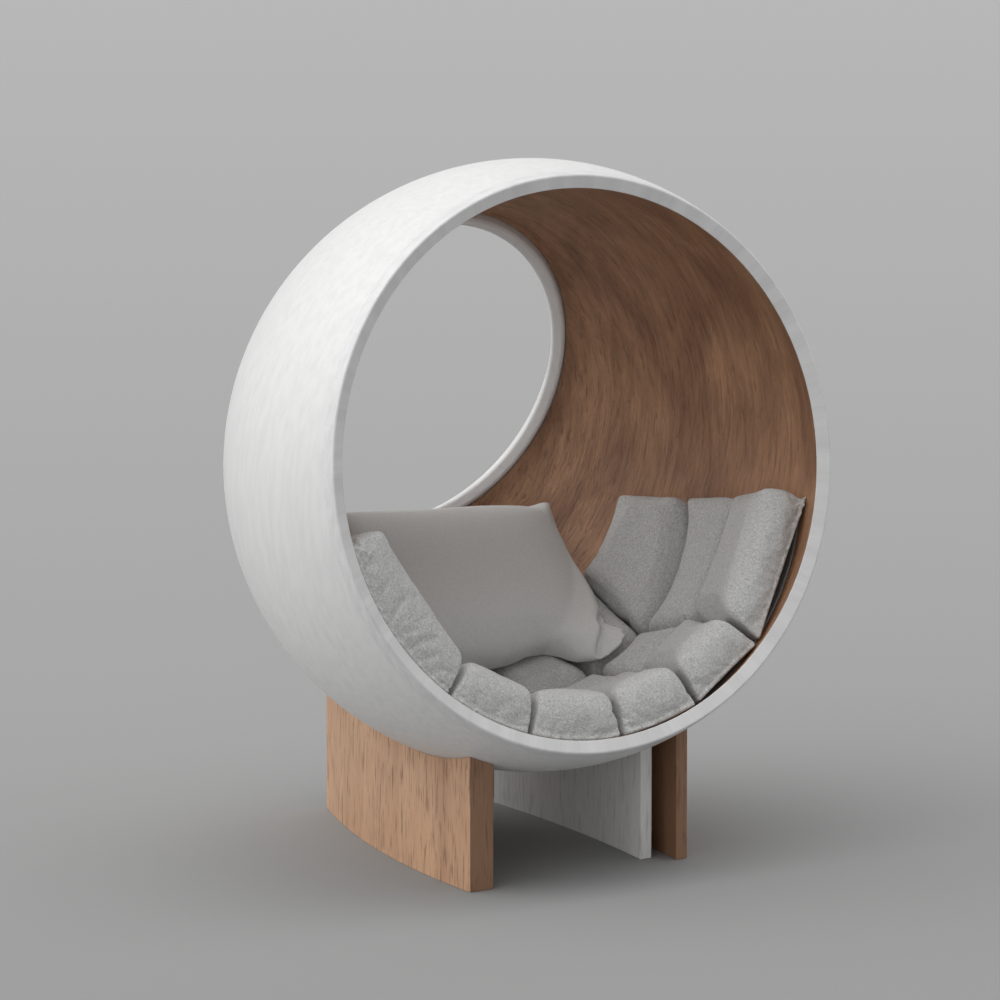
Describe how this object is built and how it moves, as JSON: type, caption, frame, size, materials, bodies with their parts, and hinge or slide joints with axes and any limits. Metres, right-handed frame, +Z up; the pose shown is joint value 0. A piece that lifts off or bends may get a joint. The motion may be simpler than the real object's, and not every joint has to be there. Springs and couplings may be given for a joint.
{
  "type": "pod chair",
  "caption": "Spherical pod chair with a wide front mouth, a round rear window, a quilted seat mat and a loose pillow, standing on bowed wooden panels.",
  "frame": {"origin": "on the floor, under the middle of the chair's bounding box", "axes": "+Z up, -Y towards the front mouth, +X to the right as seen from the front"},
  "size_m": [1.4, 1.0143, 1.6198],
  "materials": {
    "white_shell": "white satin lacquer over fine upright grain",
    "white_hoop": "white satin lacquer, slightly rippled",
    "wood_lining": "oiled red-brown veneer with dark streaks and pores",
    "leg_wood": "oiled light red-brown wood with short dark streaks",
    "grey_panel": "thin grey-white paint over fine grain",
    "rail_wood": "raw planed wood",
    "dowel_wood": "raw turned wood",
    "steel": "zinc plated",
    "insert_brass": "turned",
    "glide_rubber": "matte",
    "backing_cloth": "plain woven cotton",
    "mat_cloth": "coarse light grey twill",
    "pillow_cloth": "smooth light grey satin weave"
  },
  "bodies": {
    "root": {"outer_shell": "white_shell", "wood_lining": "wood_lining", "front_hoop": "white_hoop", "rear_hoop": "white_hoop", "left_leg": "leg_wood", "right_leg": "leg_wood", "inner_panel": "grey_panel", "leg_rail": "rail_wood", "rear_spacer": "rail_wood", "rail_dowels": "dowel_wood", "shell_bolts": "steel", "bolt_washers": "steel", "leg_inserts": "insert_brass", "foot_glides": "glide_rubber", "mat_backing": "backing_cloth", "front_pad_1": "mat_cloth", "front_pad_2": "mat_cloth", "front_pad_3": "mat_cloth", "front_pad_4": "mat_cloth", "front_pad_5": "mat_cloth", "front_pad_6": "mat_cloth", "mid_pad_1": "mat_cloth", "mid_pad_2": "mat_cloth", "mid_pad_3": "mat_cloth", "mid_pad_4": "mat_cloth", "mid_pad_5": "mat_cloth", "mid_pad_6": "mat_cloth", "rear_pad_1": "mat_cloth", "rear_pad_2": "mat_cloth", "rear_pad_3": "mat_cloth", "rear_pad_4": "mat_cloth", "rear_pad_5": "mat_cloth", "rear_pad_6": "mat_cloth", "back_pillow": "pillow_cloth"}
  },
  "joints": []
}
